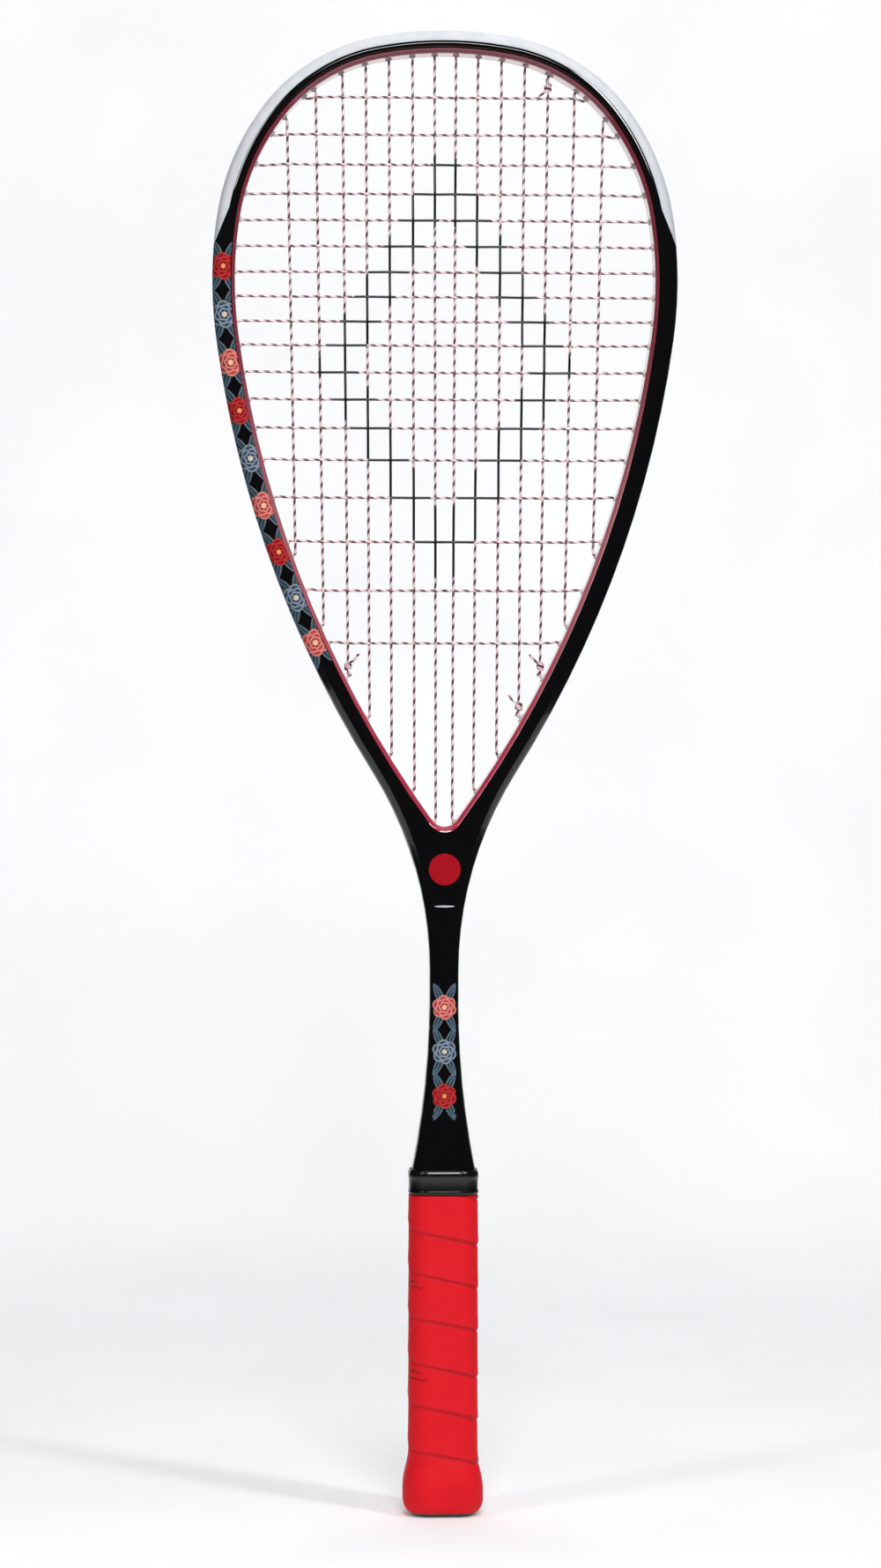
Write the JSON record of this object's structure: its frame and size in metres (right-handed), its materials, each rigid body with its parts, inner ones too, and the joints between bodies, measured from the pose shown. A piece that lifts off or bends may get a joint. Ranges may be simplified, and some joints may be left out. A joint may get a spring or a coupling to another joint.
{
  "type": "squash racket",
  "caption": "Strung teardrop hoop on a slim hollow shaft with a wrapped handle, a tip guard, grommet strips and a sliding rubber grip collar",
  "frame": {"origin": "middle of the butt end, on the surface that the racket stands on", "axes": "+Z along the racket from butt to tip, X across the face, Y through the beam with the front of the face towards -Y"},
  "size_m": [0.215, 0.0326, 0.686],
  "materials": {
    "frame_lacquer": "black lacquer over carbon composite, with a red inner wall and printed flowers",
    "guard_nylon": "pale translucent moulded nylon",
    "grommet_nylon": "pale moulded nylon",
    "string": "pale multifilament with a dark spiral tracer",
    "pallet_foam": "hard moulded foam",
    "plug_foam": "soft foam",
    "cap_plastic": "moulded black plastic",
    "fastener_steel": "plain steel wire",
    "grip": "red cushioned synthetic wrap",
    "tape": "black adhesive tape",
    "collar_rubber": "smooth black rubber"
  },
  "bodies": {
    "racket": {"frame": "frame_lacquer", "bumper_guard": "guard_nylon", "side_grommet_strip_left": "grommet_nylon", "side_grommet_strip_right": "grommet_nylon", "throat_grommet_strip_left": "grommet_nylon", "throat_grommet_strip_right": "grommet_nylon", "main_string": "string", "cross_string": "string", "main_tie_offs": "string", "cross_tie_offs": "string", "handle_pallet_front": "pallet_foam", "handle_pallet_back": "pallet_foam", "tang_plug": "plug_foam", "butt_cap": "cap_plastic", "butt_cap_staples": "fastener_steel", "grip_tack": "fastener_steel", "grip_wrap": "grip", "finishing_tape": "tape"},
    "collar": {"grip_collar": "collar_rubber"}
  },
  "joints": [
    {"name": "collar_slide", "type": "slide", "parent": "racket", "child": "collar", "axis": [0, 0, 1], "range_m": [0, 0.025]}
  ]
}
